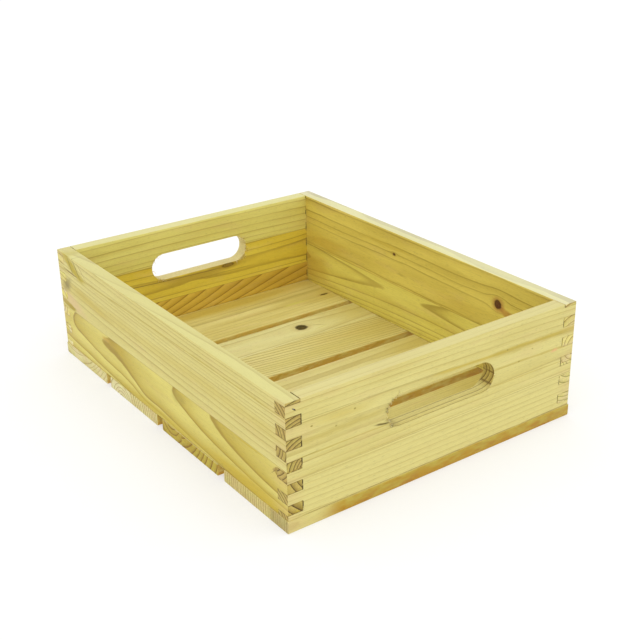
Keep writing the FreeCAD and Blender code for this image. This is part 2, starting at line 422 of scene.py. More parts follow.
def paint_knots(stave, colour):
    """Each knot's brown halo, its ringed and cloudy heart, and the dark rim between them."""
    tree = stave.tree
    for knot in stave.grain.get("knots", ()):
        radius = knot.radius
        wobble = stave.fuzz(radius * 0.9, radius * 0.7, radius * 0.7) - 0.5
        gap = stave.gap_to(knot.at, knot.stretch) + wobble * (radius * 0.5)
        halo = ease(gap, radius * 2.6, radius * 0.8) * knot.halo
        colour = blend(tree, halo, colour, knot.halo_colour)
        heart_rings = (gap / max(radius * 0.3, 0.5)).math("FRACT")
        heart = blend(tree, ease(heart_rings, 0.3, 0.9) * 0.7, knot.colour, KNOT_RIM)
        cloudy = ease(stave.fuzz(radius * 0.5, radius * 0.4, radius, 2.0, 0.7), 0.45, 0.7)
        heart = blend(tree, cloudy * 0.12, heart, KNOT_HALO)
        colour = blend(tree, ease(gap, radius * 1.08, radius * 0.8) * knot.depth, colour, heart)
        rim = ease(gap, radius * 0.7, radius * 0.95) * ease(gap, radius * 1.25, radius * 1.0)
        colour = blend(tree, rim * 0.7 * knot.depth, colour, KNOT_RIM)
    return colour


def paint_ends(stave, colour, line, band):
    """End grain: deeper, dotted with cut fibres, its late wood bolder, and stained at the joints."""
    grain = stave.grain
    tree = stave.tree
    dots = stave.fuzz(3.0, 1.0, 1.0, 3.0, 0.65)
    rays = fuzz(tree, (stave.across / 3, stave.deep / 3, stave.seed), 2.0)
    cut = (dots - 0.5) * 0.55 + (rays - 0.5) * 0.3 + grain.get("end_shade", 0.72)
    end_tint = grain.get("end_tint", (1.0, 0.93, 0.7))
    ends = shade_by(tree, colour, *(cut * part for part in end_tint))
    bold = grain.get("end_bold", 1.0)
    ends = blend(tree, (line * 0.75 + band * 0.45).clamp() * bold, ends, grain.get("end_dark", DARK))
    if stave.is_board:
        up = (stave.row["Z"] - FINGER_FOOT / MM) / (FINGER / MM)
        from_joint = ((up + 0.5).math("FRACT") - 0.5).math("ABSOLUTE") * (FINGER / MM)
        stain = ease(from_joint, 1.5, 0.4) * ease(stave.fuzz(9, 6, 6), 0.3, 0.55)
        ends = blend(tree, stain * grain.get("end_stain", 0.85), ends, STAIN)
    return blend(tree, stave.end_on, colour, ends), dots


def paint_rim_highlight(stave, colour):
    """The crate's upper edges: a painted highlight that leaves the tops paler than the boards' faces, as
    the light falls on them.
    """
    tint_and_light = stave.grain.get("rim_highlight_tint")
    if not tint_and_light:
        return colour
    on_top = ease(stave.normal["Z"], 0.55, 0.85) * ease(stave.row["Z"], RIM / MM - 3, RIM / MM - 1)
    pale = blend(stave.tree, 0.45, colour, RIM_HIGHLIGHT)
    pale = blend(stave.tree, 1.0, pale, tint_and_light, "MULTIPLY")
    return blend(stave.tree, on_top, colour, pale)


def paint_sawn_edge(stave, colour):
    """A slat's long edges, left as sawn and darkened in orange-brown clouds, and darker towards the bottom
    as painted shade.
    """
    edge = stave.grain.get("edge")
    if not edge:
        return colour
    tree = stave.tree
    on_edge = ease(stave.normal["Y"].math("ABSOLUTE"), 0.5, 0.85)
    clouds = ease(stave.fuzz(24, 7, 7, 3.0, 0.6), 0.32, 0.6)
    rust = ease(fuzz(tree, (stave.along / 17 + 3.0, stave.seed, stave.deep / 6), 2.0), 0.5, 0.68)
    # Painted shade: the edge darkens towards its bottom, where its rounding turns down from the light.
    low = ease(stave.row["Z"], 12.0, 0.5)
    sawn = blend(tree, edge["strength"] * 0.55, colour, SAWN)
    sawn = blend(tree, (clouds * 0.7 + low * 0.45).clamp() * edge["strength"], sawn, SLAT_EDGE)
    sawn = blend(tree, rust * (low * 0.6 + 0.4) * 0.6 * edge["strength"], sawn, RUST)
    # The edge's tint: mostly its own colour; on the front slat's edge it also darkens it as painted shade.
    sawn = blend(tree, 1.0, sawn, edge.get("tint_and_light", (0.95, 0.95, 0.9)), "MULTIPLY")
    start = edge.get("start", -NOWHERE)
    return blend(tree, on_edge * ease(stave.share, start, start + 0.2), colour, sawn)


def paint_slot(stave, colour, line):
    """The hand slot's own walls: painted shade (painted light where slot_shade is above 1), their paleness
    and the cut rings that cross them.
    """
    if not stave.grain.get("slot_shade"):
        return colour
    half_length, half_height = SLOT_HALF_LENGTH / MM, SLOT_RADIUS / MM
    inside = ease(stave.along.math("ABSOLUTE"), half_length + 1.5, half_length + 0.5)
    height = (stave.across - SLOT_HEIGHT / MM).math("ABSOLUTE")
    inside = inside * ease(height, half_height + 1.5, half_height + 0.5)
    inside = inside * ease(stave.normal["Y"].math("ABSOLUTE"), 0.6, 0.3)
    shade_mottle = stave.fuzz(7, 2.0, 2.0, 3.0, 0.7) * 0.4 + 0.8
    colour = blend(stave.tree, inside * stave.grain.get("slot_pale", 0.0), colour, SLOT_WALL)
    colour = blend(stave.tree, inside * line * stave.grain.get("slot_line", 0.0), colour, STAIN)
    # Painted shade over the slot's walls, mottled by noise; above 1 it is painted light.
    shade = inside * (shade_mottle * stave.grain["slot_shade"] - 1.0) + 1.0
    return shade_by(stave.tree, colour, shade)


def paint_torn(stave, colour, outer):
    """The floors of chips in the outer face, where the fibres tore."""
    below = ease((stave.deep - outer).math("ABSOLUTE"), 0.1, 0.35)
    shallow = ease((stave.deep - outer).math("ABSOLUTE"), 2.2, 1.8)
    across_face = ease(stave.normal[stave.face_axis].math("ABSOLUTE"), 0.86, 0.93)
    rough = stave.fuzz(5, 0.8, 3.0, 3.0, 0.7) * 0.5 + 0.5
    return blend(stave.tree, below * shallow * across_face * rough, colour, TORN)


def paint_rings(stave):
    """Early wood that drifts in tone, under the rings' late wood. Gives the late wood's masks too."""
    grain, tree = stave.grain, stave.tree
    early, late = grain.get("early", EARLY), grain.get("late", LATE)
    rings = grow_rings(stave)
    phase = rings.math("FRACT")
    band = phase.power(grain.get("fade", 3.0)) * ease(phase, 1.0, 0.96)
    line = ease(phase, grain.get("line_start", 0.80), 0.94) * ease(phase, 1.0, 0.96)
    vary = grain.get("vary", 0.7)
    strength = fuzz(tree, (rings.math("FLOOR") * 0.71 + stave.seed, stave.along / 170, 0.0), 1.0)
    strength = ease(strength, 0.3, 0.65) * vary + (1.0 - vary)
    tone = stave.fuzz(150, 24, 24)
    base = blend(tree, ease(tone, 0.32, 0.72) * grain.get("ochre", 0.25), early, late)
    base = blend(tree, ease(stave.drift, 0.5, 0.75) * grain.get("blush", 0.25), base, TAN)
    colour = blend(tree, band * strength * grain.get("band", 0.4), base, late)
    colour = blend(tree, line * strength * grain.get("line", 0.2), colour, grain.get("dark", DARK))
    return colour, band, line


def paint_near_ends(stave, colour):
    near_end = ease(stave.share.math("ABSOLUTE"), 0.86, 1.0) * ease(stave.drift, 0.35, 0.6)
    return blend(stave.tree, near_end * 0.4, colour, TAN)


def paint_glue_lines(stave, colour, glue_lines):
    for glue in glue_lines:
        seam = ease((stave.across - glue).math("ABSOLUTE"), 0.55, 0.15)
        patchy = ease(stave.fuzz(40, 60, 60), 0.3, 0.6) * 0.6 + 0.4
        colour = blend(stave.tree, seam * patchy * stave.grain.get("seam", 0.5), colour, DARK)
    return colour


def paint_foot(stave, colour):
    """A dark line along a board's foot, where it stands on the slats."""
    foot = ease(stave.row["Z"], FLOOR_TOP / MM + 0.9, FLOOR_TOP / MM + 0.3)
    return blend(stave.tree, foot * ease(stave.fuzz(35, 9, 9), 0.35, 0.55) * 0.8, colour, DARK)


def paint_shoulders(stave, colour, shoulder):
    """The dark gaps beside a slotted board's notches, at some mm from the board's middle."""
    beside = ease((stave.along.math("ABSOLUTE") - shoulder).math("ABSOLUTE"), 1.2, 0.5)
    up = (stave.row["Z"] - FINGER_FOOT / MM) / (2 * FINGER / MM)
    notched = ease((up.math("FRACT") - 0.25).math("ABSOLUTE"), 0.27, 0.22)
    patchy = ease(stave.fuzz(30, 6, 6), 0.35, 0.55)
    below_rim = ease(stave.normal["Z"], 0.5, 0.8) * -0.75 + 1.0
    return blend(stave.tree, beside * notched * patchy * below_rim * 0.95, colour, GAP)


def pine(name, grain, axes, length, glue_lines, outer=None, shoulder=None):
    """The wood of one stave. axes are the row axes that run along, across and deep into it."""
    material, tree, surface = new_material(name)
    stave = Stave(tree, grain, axes, length)
    colour, band, line = paint_rings(stave)
    colour = paint_streaks(stave, colour)
    colour = paint_patches(stave, colour)
    colour = paint_near_ends(stave, colour)
    colour = paint_knots(stave, colour)

    # Long fibres, and resin ducts as short dark dashes.
    fibre = stave.fuzz(24, 0.75, 0.75, 3.0, 0.65)
    duct = stave.fuzz(6, 0.55, 0.55, 0.0)
    shade = fibre * 0.34 + 0.83 - ease(duct, 0.66, 0.76) * 0.16
    colour = shade_by(tree, colour, shade)

    colour = paint_sawn_edge(stave, colour)
    if stave.is_board:
        colour = paint_torn(stave, colour, outer)
    colour, dots = paint_ends(stave, colour, line, band)
    colour = paint_slot(stave, colour, line)
    colour = paint_rim_highlight(stave, colour)
    colour = paint_glue_lines(stave, colour, glue_lines)
    if stave.is_board:
        colour = paint_foot(stave, colour)
    if shoulder:
        colour = paint_shoulders(stave, colour, shoulder)
    # The stave's own multiplying tint: partly its own tone, mostly painted light that lifts the inner walls
    # and the slats.
    colour = blend(tree, 1.0, colour, grain.get("tint_and_light", (1.0, 1.0, 1.0)), "MULTIPLY")
    tree.links.new(colour, surface.inputs["Base Color"])

    surface.inputs["Specular IOR Level"].default_value = 0.3
    rough = fibre * 0.2 - band * 0.1 + stave.end_on * 0.15 + 0.52
    tree.links.new(rough.socket, surface.inputs["Roughness"])
    relief = fibre * 0.5 + band * 0.45 + (dots - 0.5) * stave.end_on * 1.4
    bump = tree.nodes.new("ShaderNodeBump")
    bump.inputs["Strength"].default_value = 0.6
    bump.inputs["Distance"].default_value = 0.25 * MM
    tree.links.new(relief.socket, bump.inputs["Height"])
    tree.links.new(bump.outputs[0], surface.inputs["Normal"])
    return material


# How each stave was sawn. The pith line is given at the stave's start, middle and end, in row
# millimetres across and deep. lines are where rings meet the given face at the stave's middle; radii
# give the rings outright where they meet it too slantwise for that. Staves without either have rings
# about ring apart all through.
BOARD = THICKNESS / MM
LEFT_FACE = -HALF_WIDTH / MM
FRONT_FACE = -HALF_LENGTH / MM
RIGHT_INNER = HALF_WIDTH / MM - BOARD
BACK_INNER = HALF_LENGTH / MM - BOARD
SLAT_TOP = FLOOR_TOP / MM

OLIVE = (0.34, 0.27, 0.05)
BROWN = (0.38, 0.26, 0.07)
AMBER = (0.52, 0.37, 0.03)
PINK = (0.70, 0.46, 0.26)
GOLD = (0.56, 0.42, 0.055)
GREENISH = (0.60, 0.54, 0.10)

# The plain tint in an entry is partly the stave's own tone and mostly painted light that lifts the inner
# walls and the slats.
# The rim tint in an entry is a painted highlight on the crate's tops.
GRAIN = {
    "left_side_upper_stave": dict(
        pith_across=(68, 70, 80), pith_deep=(LEFT_FACE + 27, LEFT_FACE + 27, LEFT_FACE + 27),
        face=LEFT_FACE, lines=(84.2, 92.5, 99.5, 105.8, 111, 117, 121.2, 125.5, 131, 139.5, 144.8),
        ring=4.6, wander=0.7, ripple=0.5, band=0.6, line=0.4, ochre=0.16, vary=0.5, seed=3.1,
        rim_highlight_tint=(1.0, 1.04, 1.05), end_shade=0.72, end_tint=(1.05, 0.94, 0.64), end_bold=2.2,
        end_dark=(0.11, 0.075, 0.015),
        streaks=(
            Streak((132, 131, 127), 1.4, 0.7, bend=0.6),
            Streak((106, 105, 101), 11.0, 0.25, bend=4.0, colour=GOLD),
        ),
        patches=(
            Patch((232, 86), (44, 13), 0.5, PINK, lean=0.2, ragged=0.5),
            Patch((246, 106), (20, 13), 0.95, (0.30, 0.24, 0.07), lean=-0.4, core=0.1),
            Patch((251, 78), (32, 5.0), 1.0, (0.42, 0.31, 0.02), lean=0.1, core=0.5),
            Patch((226, 139), (44, 12), 1.0, (0.50, 0.39, 0.03), lean=0.35, ragged=1.0),
            Patch((211, 138), (16, 2.2), 1.0, (0.26, 0.20, 0.02), lean=1.1, ragged=0.5),
            Patch((229, 137), (12, 2.4), 1.0, (0.26, 0.20, 0.02), lean=1.5, ragged=0.5),
            Patch((196, 140), (18, 1.3), 0.7, BROWN, lean=0.7, ragged=0.4),
            Patch((230, 128.0), (28, 1.5), 0.95, (0.26, 0.17, 0.03), lean=0.04, ragged=0.4),
            Patch((180, 104), (90, 8), 0.4, GOLD, lean=0.12, ragged=0.7),
        ),
    ),
    "left_side_lower_stave": dict(
        pith_across=(85.8, 66.2, 60.5), pith_deep=(LEFT_FACE + 64.9, LEFT_FACE + 90, LEFT_FACE + 101),
        radii=(60, 67.3, 80.8, 87.6, 98.2, 101.2, 106.5, 112), ring=6.0,
        wander=0.7, ripple=0.5, fade=2.0, band=1.0, line=0.5, line_start=0.86, vary=0.1,
        ochre=0.3, seed=1.7, early=(0.74, 0.66, 0.205), late=(0.45, 0.315, 0.01), end_shade=0.8,
        end_tint=(1.02, 0.97, 0.8), end_bold=1.6, end_dark=(0.12, 0.075, 0.015), tint_and_light=(1.0, 0.99, 0.86),
        swells=(
            Swell((96, 50), 42, 1.2),
            Swell((34, 28), 26, -1.4),
            Swell((267, 62), 46, 2.4, stretch=1.0),
        ),
        patches=(
            Patch((138, 66), (15, 4), 0.7, (0.62, 0.40, 0.08), ragged=0.6),
            Patch((-48, 62), (22, 11), 0.6, (0.42, 0.33, 0.06), ragged=0.5),
            Patch((-200, 22), (130, 12), 0.7, (0.56, 0.40, 0.02), lean=0.03, ragged=0.5),
            Patch((-10, 20), (140, 7), 0.6, (0.55, 0.42, 0.03), ragged=0.5),
            Patch((115, 66), (38, 7), 0.55, AMBER, ragged=0.6),
            Patch((-200, 70.5), (42, 1.4), 0.6, AMBER, ragged=0.6),
            Patch((-247, 66.5), (7, 3.2), 0.85, (0.36, 0.24, 0.07), lean=-0.55, ragged=0.9),
            Patch((-245, 64), (8, 0.7), 0.8, STAIN, lean=-0.9, ragged=0.5),
        ),
    ),
    "right_side_upper_stave": dict(
        pith_across=(94, 94, 94), pith_deep=(RIGHT_INNER + 20, RIGHT_INNER + 19, RIGHT_INNER + 20),
        face=RIGHT_INNER, lines=(111.2, 119.5, 129.8, 147.5), ring=7.0, wander=1.9, ripple=1.0,
        band=0.5, line=0.55, ochre=0.35, vary=0.6, seed=5.2, early=(0.74, 0.62, 0.135),
        rim_highlight_tint=(1.0, 1.13, 2.0), end_shade=0.93, end_tint=(1.05, 1.12, 1.75), seam=0.75,
        end_stain=0.35, end_bold=0.7,
        tint_and_light=(1.07, 1.05, 1.0),
        knots=(
            Knot((-160.0, 113.0), 5.4, stretch=1.0, halo=0.8, halo_colour=(0.42, 0.19, 0.05),
                 colour=(0.13, 0.04, 0.012)),
            Knot((41.0, 119.0), 1.7, stretch=1.6, colour=(0.14, 0.06, 0.015)),
        ),
        patches=(
            Patch((-176, 105), (26, 8), 0.75, (0.5, 0.25, 0.05), lean=0.45),
            Patch((60, 128), (80, 5), 0.5, GOLD),
            Patch((200, 88), (70, 13), 0.45, (0.56, 0.38, 0.05)),
            Patch((-90, 88), (60, 10), 0.3, (0.56, 0.40, 0.06)),
        ),
    ),
    "right_side_lower_stave": dict(
        pith_across=(78, 64, 55), pith_deep=(RIGHT_INNER + 17, RIGHT_INNER + 33, RIGHT_INNER + 22.5),
        radii=(25, 32.95, 38.7, 46, 51, 56), ring=5.0, wander=0.35, ripple=0.4,
        band=0.5, line=0.5, ochre=0.3, vary=0.3, seed=9.4, early=(0.74, 0.66, 0.16),
        end_shade=0.84, end_tint=(1.05, 1.07, 1.6), seam=0.75, tint_and_light=(1.15, 1.15, 1.1),
        end_stain=0.35, end_bold=0.9, end_dark=(0.24, 0.22, 0.04),
        patches=(Patch((245, 45), (60, 34), 0.5, (0.54, 0.36, 0.05)),),
    ),
    "front_board_upper_stave": dict(
        pith_across=(100, 100, 98.5), pith_deep=(FRONT_FACE + 39.5, FRONT_FACE + 40.5, FRONT_FACE + 43),
        radii=(41, 46, 51, 56, 61), ring=5.0, wander=0.6, ripple=0.4,
        band=0.45, line=0.28, ochre=0.2, vary=0.6, seed=2.2, rim_highlight_tint=(1.0, 1.0, 1.05),
        end_shade=0.74, end_tint=(1.05, 0.93, 0.66), end_bold=2.2, end_dark=(0.14, 0.09, 0.02),
        slot_shade=1.05, slot_line=0.75,
        streaks=(
            Streak((124, 120.5, 116.5), 3.2, 0.6, bend=1.5, span=(-0.1, 1.3), colour=GOLD),
            Streak((125.5, 122.5, 119), 0.7, 0.5, bend=1.0, span=(-1.0, 0.2), colour=OLIVE),
            Streak((122, 119, 116), 5.5, 0.5, bend=2.0, span=(0.3, 1.3), colour=LATE),
            Streak((108, 102, 96.5), 2.0, 0.55, bend=1.5, span=(0.3, 1.3)),
            Streak((101, 103, 105), 5.0, 0.4, bend=3.0, span=(-1.1, -0.35)),
            Streak((84, 83, 80), 1.2, 0.6, bend=1.0, span=(-1.0, -0.3)),
            Streak((83, 80, 78), 1.0, 0.5, bend=1.0, span=(0.3, 1.2)),
        ),
        patches=(
            Patch((-84, 86.5), (14, 1.7), 1.0, (0.20, 0.15, 0.03), lean=-0.16, ragged=0.6),
            Patch((-135, 116), (60, 10), 0.42, GOLD, lean=-0.02, ragged=0.5, core=0.0),
            Patch((-180, 112), (22, 12), 0.3, TAN, core=0.0),
            Patch((-105, 80), (34, 7), 0.25, TAN),
            Patch((-176, 84), (20, 0.8), 0.6, OLIVE, lean=0.07, ragged=0.4),
            Patch((-62, 80.5), (15, 5.0), 0.75, (0.30, 0.235, 0.075)),
            # A dark mark over the brad's recess: painted shade in the hole.
            Patch((-193, 140.5), (2.8, 1.1), 1.0, BRAD_HOLE_SHADE, lean=-0.7, core=0.6, ragged=0.3),
            Patch((172, 96), (7, 3), 0.6, (0.8, 0.42, 0.2)),
            Patch((-172.5, 115), (1.8, 1.3), 0.95, OLIVE, core=0.5),
            Patch((-118.5, 117), (2.0, 1.4), 0.8, OLIVE, core=0.5),
            Patch((-142.5, 105), (1.8, 1.2), 0.7, OLIVE, core=0.5),
            Patch((95.5, 119), (1.8, 1.2), 0.85, OLIVE, core=0.5),
            Patch((135.5, 109), (1.4, 1.0), 0.7, OLIVE, core=0.5),
            Patch((114.5, 99), (2.0, 1.2), 0.8, OLIVE, core=0.5),
        ),
    ),
    "front_board_lower_stave": dict(
        pith_across=(-10, -10, -10), pith_deep=(FRONT_FACE + 45, FRONT_FACE + 47, FRONT_FACE + 46),
        face=FRONT_FACE, lines=(23, 30, 37, 43, 51), ring=5.0, wander=0.6, ripple=0.3,
        band=0.36, line=0.22, ochre=0.05, blush=0.1, vary=0.6, seed=6.1, end_shade=0.76,
        end_tint=(1.05, 0.93, 0.68), end_bold=2.2, end_dark=(0.15, 0.10, 0.02),
    ),
    "back_board_upper_stave": dict(
        pith_across=(38, 40, 38), pith_deep=(BACK_INNER + 26, BACK_INNER + 22, BACK_INNER + 26),
        face=BACK_INNER, lines=(102.5, 108.7, 117, 126.5, 137, 147.5), ring=7.6, wander=0.8,
        band=0.5, line=0.4, ochre=0.3, vary=0.6, seed=4.4, early=(0.71, 0.655, 0.19),
        rim_highlight_tint=(0.90, 0.92, 1.12), end_shade=0.98, tint_and_light=(1.14, 1.15, 1.2), slot_shade=0.82, slot_pale=0.8,
        end_tint=(1.0, 1.0, 1.1), end_stain=0.5, end_bold=0.6,
        # A dark mark over the brad's recess: painted shade in the hole.
        patches=(Patch((193, 140.5), (2.8, 1.1), 1.0, BRAD_HOLE_SHADE, lean=0.7, core=0.6, ragged=0.3),),
    ),
    "back_board_middle_stave": dict(
        pith_across=(70, 68, 70), pith_deep=(BACK_INNER + 22, BACK_INNER + 26, BACK_INNER + 22),
        face=BACK_INNER, lines=(75, 84.5, 97), ring=9.0, wander=1.2, band=0.6, line=0.6,
        ochre=0.4, vary=0.4, seed=8.3, early=(0.70, 0.56, 0.066), late=(0.56, 0.38, 0.03),
        end_shade=0.98, end_tint=(1.05, 1.15, 2.2), end_stain=0.5, end_bold=0.6, tint_and_light=(1.12, 1.14, 1.2),
        slot_shade=0.84, slot_pale=0.9,
        knots=(
            Knot((45.0, 73.0), 2.8, stretch=3.4, part=1.8, colour=(0.26, 0.16, 0.03), depth=0.75,
                 halo=0.8, halo_colour=(0.36, 0.22, 0.02)),
        ),
        streaks=(
            Streak((80, 72, 73), 0.9, 0.75, bend=1.0, span=(-1.1, 0.2), colour=STAIN),
            Streak((64, 64, 62), 0.7, 0.45, bend=3.0, span=(-0.1, 0.45), colour=STAIN),
        ),
    ),
    "back_board_lower_stave": dict(
        pith_across=(80, 80, 80), pith_deep=(BACK_INNER + 5, BACK_INNER + 75, BACK_INNER + 108),
        radii=(71, 78, 84.8, 91.5, 97.7, 103, 109.5, 114.5, 120), ring=6.5,
        wander=0.5, ripple=0.5, fade=2.0, band=1.0, line=0.7, vary=0.15, ochre=0.4, seed=7.5,
        early=(0.635, 0.455, 0.075), late=(0.41, 0.25, 0.022), dark=(0.24, 0.12, 0.02), end_shade=1.0,
        end_tint=(1.15, 1.45, 2.6), end_stain=0.5, end_bold=0.5,
        seam=0.8, tint_and_light=(1.17, 1.16, 1.1),
    ),
    "slat_1_front_stave": dict(
        pith_across=(-360, -360, -360), pith_deep=(7, 8, 7), ring=3.4, wander=0.5,
        ochre=0.3, seed=1.2, end_shade=0.76, end_tint=(1.0, 1.0, 1.05), vary=0.3,
        edge=dict(strength=1.0, start=-0.85, tint_and_light=(0.80, 0.76, 0.46)),
    ),
    "slat_1_back_stave": dict(
        pith_across=(-330, -330, -330), pith_deep=(6, 8, 6), ring=4.0, wander=0.8,
        seed=2.7, end_shade=0.88, end_tint=(1.0, 1.0, 1.0), edge=dict(strength=0.9),
        tint_and_light=(1.08, 1.08, 1.08),
        # The wide gold wash at the right is painted shade: the floor is left paler towards the left wall,
        # where more light falls.
        patches=(Patch((190, -190), (110, 70), 0.5, GOLD, core=0.0),),
    ),
    "slat_2_front_stave": dict(
        pith_across=(-40, -38, -40), pith_deep=(45, 46, 45), ring=9.0, wander=0.8,
        ochre=0.25, seed=3.9, end_shade=0.68, end_tint=(1.0, 0.9, 0.30), end_bold=2.0,
        end_dark=(0.24, 0.13, 0.01), edge=dict(strength=1.0), tint_and_light=(1.10, 1.12, 1.3),
        # The wide gold wash at the right is painted shade: the floor is left paler towards the left wall,
        # where more light falls.
        patches=(Patch((190, -80), (110, 70), 0.5, GOLD, core=0.0),),
    ),
    "slat_2_back_stave": dict(
        pith_across=(-26, -26, -26), pith_deep=(28, 30, 28), ring=8.0, wander=0.8,
        seed=4.8, end_shade=0.68, end_tint=(1.0, 0.9, 0.30), end_bold=2.0,
        end_dark=(0.24, 0.13, 0.01), edge=dict(strength=0.8), tint_and_light=(1.10, 1.12, 1.3),
        # The wide gold wash at the right is painted shade: the floor is left paler towards the left wall,
        # where more light falls.
        patches=(Patch((190, -30), (110, 60), 0.5, GOLD, core=0.0),),
    ),
    "slat_3_front_stave": dict(
        pith_across=(148, 118, 100), pith_deep=(-14, -12, -10), ring=5.4, wander=0.6,
        ripple=0.4, band=0.9, line=0.8, vary=0.2, ochre=0.15, seed=5.5, end_shade=1.05,
        end_tint=(0.96, 0.99, 1.12), end_bold=0.7, edge=dict(strength=1.0),
        early=(0.75, 0.67, 0.27),
        patches=(
            # The wide gold wash at the right is painted shade: the floor is left paler towards the left
            # wall, where more light falls.
            Patch((150, 45), (190, 60), 0.45, GOLD, core=0.0),
            Patch((60, 30), (200, 26), 0.4, (0.62, 0.53, 0.14), core=0.0),
        ),
    ),
    "slat_3_back_stave": dict(
        pith_across=(104, 103, 102), pith_deep=(-9, -13, -17),
        radii=(26, 35, 41, 47), ring=5.5, wander=0.6, ripple=0.5, band=0.4, line=0.35, seed=6.6,
        end_shade=1.03, end_tint=(0.96, 0.99, 1.12), end_bold=0.7, vary=0.4,
        early=(0.73, 0.665, 0.27), edge=dict(strength=0.9), tint_and_light=(1.08, 1.11, 1.26),
        knots=(Knot((76.0, 109.5), 7.2, stretch=1.15, halo=0.3, colour=(0.06, 0.045, 0.004)),),
        patches=(
            # The wide gold wash at the right is painted shade: the floor is left paler towards the left
            # wall, where more light falls.
            Patch((200, 112), (130, 60), 0.6, GOLD, core=0.0),
            Patch((98, 104), (17, 0.9), 0.8, OLIVE, lean=-0.55, ragged=0.4),
            Patch((100, 94.5), (16, 0.9), 0.7, GREENISH, lean=0.15, ragged=0.4),
        ),
    ),
    "slat_4": dict(
        pith_across=(240, 238, 240), pith_deep=(90, 88, 90), face=SLAT_TOP,
        lines=(228, 215, 204, 182, 173), ring=5.5, wander=0.8, band=0.5, line=0.35, ochre=0.5,
        seed=7.9, early=(0.69, 0.60, 0.20), end_shade=1.0, end_tint=(0.94, 1.0, 1.16),
        end_bold=0.4, edge=dict(strength=0.8), tint_and_light=(1.15, 1.17, 1.36),
        knots=(Knot((171.0, 186.5), 2.0, stretch=3.2, colour=(0.09, 0.07, 0.006)),),
        streaks=(Streak((209, 206, 208), 6.0, 0.3, colour=OLIVE),),
        patches=(
            Patch((117, 184), (26, 4), 0.7, GREENISH),
            Patch((60, 240), (260, 24), 0.7, GOLD, ragged=0.5),
            # The wide gold wash at the right is painted shade: the floor is left paler towards the left
            # wall, where more light falls.
            Patch((210, 190), (90, 70), 0.5, GOLD, core=0.0),
        ),
    ),
}

# ----------------------------------------
# Meshes


WIDEST_EASING = 2.0 * MM
RIM_EASING = 0.9 * MM
FINGER_EASING = 0.22 * MM
FOOT_EASING = 0.3 * MM
BOARD_EASING = 0.7 * MM
SLAT_EASING = 1.8 * MM
SLAT_END_EASING = 0.8 * MM
UNIT = {"X": Vector((1, 0, 0)), "Y": Vector((0, 1, 0)), "Z": Vector((0, 0, 1))}


def place(bm, name):
    """Put a finished mesh into the scene as an object of its own."""
    mesh = bpy.data.meshes.new(name)
    bm.to_mesh(mesh)
    bm.free()
    piece = bpy.data.objects.new(name, mesh)
    bpy.context.scene.collection.objects.link(piece)
    return piece


def settle(piece):
    """Replace a piece's mesh by what its modifiers make of it."""
    graph = bpy.context.evaluated_depsgraph_get()
    mesh = bpy.data.meshes.new_from_object(piece.evaluated_get(graph))
    piece.modifiers.clear()
    piece.data = mesh


def end_steps(low, high, notch_parity, reach):
    """(inset, height) pairs up a stave's end, stepping in where the other board's fingers lie."""
    steps = []
    height = low
    index = math.floor((low - FINGER_FOOT) / FINGER + TINY)
    while height < high - TINY:
        top = min(FINGER_FOOT + (index + 1) * FINGER, high)
        inset = reach if index % 2 == notch_parity else 0.0
        steps += [(inset, height), (inset, top)]
        height = top
        index += 1
    return steps


def wall_outline(half, low, high, notch_parity, reach):
    """A wall stave's outline as (along, height) points, counter-clockwise from its lower start."""
    steps = end_steps(low, high, notch_parity, reach)
    outline = [(half - inset, height) for inset, height in steps]
    outline += [(-half + inset, height) for inset, height in reversed(steps)]
    return outline


def slot_arc(height, upper):
    """Points round the slot's upper or lower half from a cut at some height, right side to left."""
    centre = SLOT_HALF_LENGTH - SLOT_RADIUS
    start = math.asin((height - SLOT_HEIGHT) / SLOT_RADIUS)
    end = math.radians(90 if upper else -90)
    angles = [start + (end - start) * step / SLOT_STEPS for step in range(SLOT_STEPS + 1)]
    right = [
        (centre + SLOT_RADIUS * math.cos(angle), SLOT_HEIGHT + SLOT_RADIUS * math.sin(angle))
        for angle in angles
    ]
    return right + [(-along, up) for along, up in reversed(right)]


def split_at(outline, height):
    """The outline's parts above and below a height, each still counter-clockwise."""
    above = [point for point in outline if point[1] > height + TINY]
    below = [point for point in outline if point[1] < height - TINY]
    return above, below


def slab(loops, origin, axes, thickness):
    """A flat board from one or more outlines in its own plane, with thickness along the third axis."""
    along, up, deep = axes
    bm = bmesh.new()
    shared = {}

    def vertex(point):
        key = (round(point[0], 7), round(point[1], 7))
        if key not in shared:
            shared[key] = bm.verts.new(origin + along * point[0] + up * point[1])
        return shared[key]

    faces = [bm.faces.new([vertex(point) for point in loop]) for loop in loops]
    grown = bmesh.ops.extrude_face_region(bm, geom=faces)
    moved = [item for item in grown["geom"] if isinstance(item, bmesh.types.BMVert)]
    bmesh.ops.translate(bm, verts=moved, vec=deep * thickness)
    bmesh.ops.recalc_face_normals(bm, faces=bm.faces)
    return bm


def ease_edges(bm, width_at):
    """Weight every sharp edge by how far it is rounded; width_at gives that in metres."""
    layer = bm.edges.layers.float.new("bevel_weight_edge")
    for edge in bm.edges:
        if len(edge.link_faces) == 2 and edge.calc_face_angle() > math.radians(30):
            middle = (edge.verts[0].co + edge.verts[1].co) / 2
            direction = (edge.verts[1].co - edge.verts[0].co).normalized()
            edge[layer] = width_at(middle, direction) / WIDEST_EASING


def round_off(piece):
    bevel = piece.modifiers.new("easing", "BEVEL")
    bevel.limit_method = "WEIGHT"
    bevel.width = WIDEST_EASING
    bevel.segments = 3
    bevel.use_clamp_overlap = False
    settle(piece)
    smooth_but_sharp(piece)
    return piece


